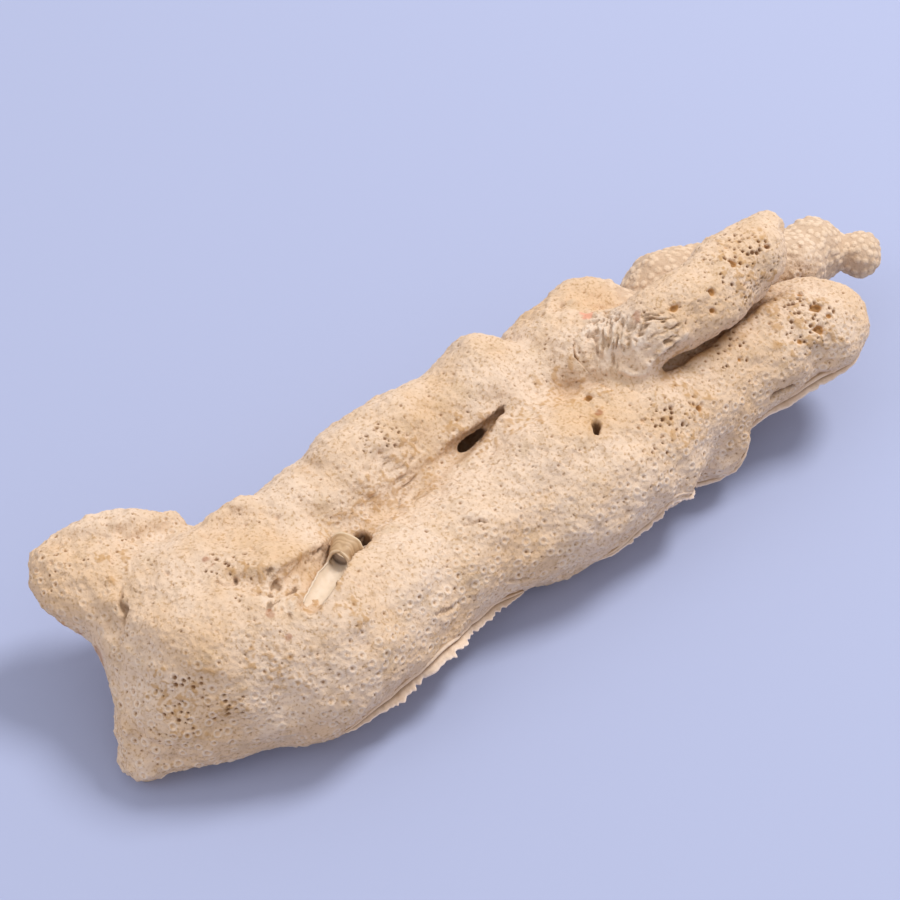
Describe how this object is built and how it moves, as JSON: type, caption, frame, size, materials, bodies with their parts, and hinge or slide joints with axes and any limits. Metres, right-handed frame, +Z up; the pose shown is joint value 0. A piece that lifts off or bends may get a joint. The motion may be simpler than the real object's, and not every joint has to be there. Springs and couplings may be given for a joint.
{
  "type": "coral skeleton",
  "caption": "Beach-worn branching coral skeleton, lying on a flat-cut underside: a trunk with two fused columns that fork into a thick arm, an overlying finger and a beaded rear arm.",
  "frame": {"origin": "centre of the bounding box on the flat underside that the coral rests on", "axes": "+X along the length, from the trunk to the arm tips; +Y to the rear, where the crevice's rear column lies; +Z up"},
  "size_m": [0.2769, 0.0975, 0.0628],
  "materials": {
    "worn_skeleton": "worn porous aragonite with small raised cups, matt, cream with ochre stains in its hollows",
    "beaded_skeleton": "unworn porous aragonite covered with rounded beads, matt, cream",
    "thin_crust": "thin pale limy crust with a ragged edge, matt",
    "burrow_lining": "smooth limy tube wall, slightly satin, near white"
  },
  "bodies": {
    "root": {"base_trunk": "worn_skeleton", "left_lobe": "worn_skeleton", "foot_spur": "worn_skeleton", "front_column": "worn_skeleton", "rear_column": "worn_skeleton", "middle_junction": "worn_skeleton", "front_arm": "worn_skeleton", "upper_finger": "worn_skeleton", "rear_arm": "beaded_skeleton", "beaded_knob_inner": "beaded_skeleton", "beaded_knob_outer": "beaded_skeleton", "edge_crust_near": "thin_crust", "edge_crust_middle": "thin_crust", "edge_crust_far": "thin_crust", "burrow_lining": "burrow_lining"}
  },
  "joints": []
}
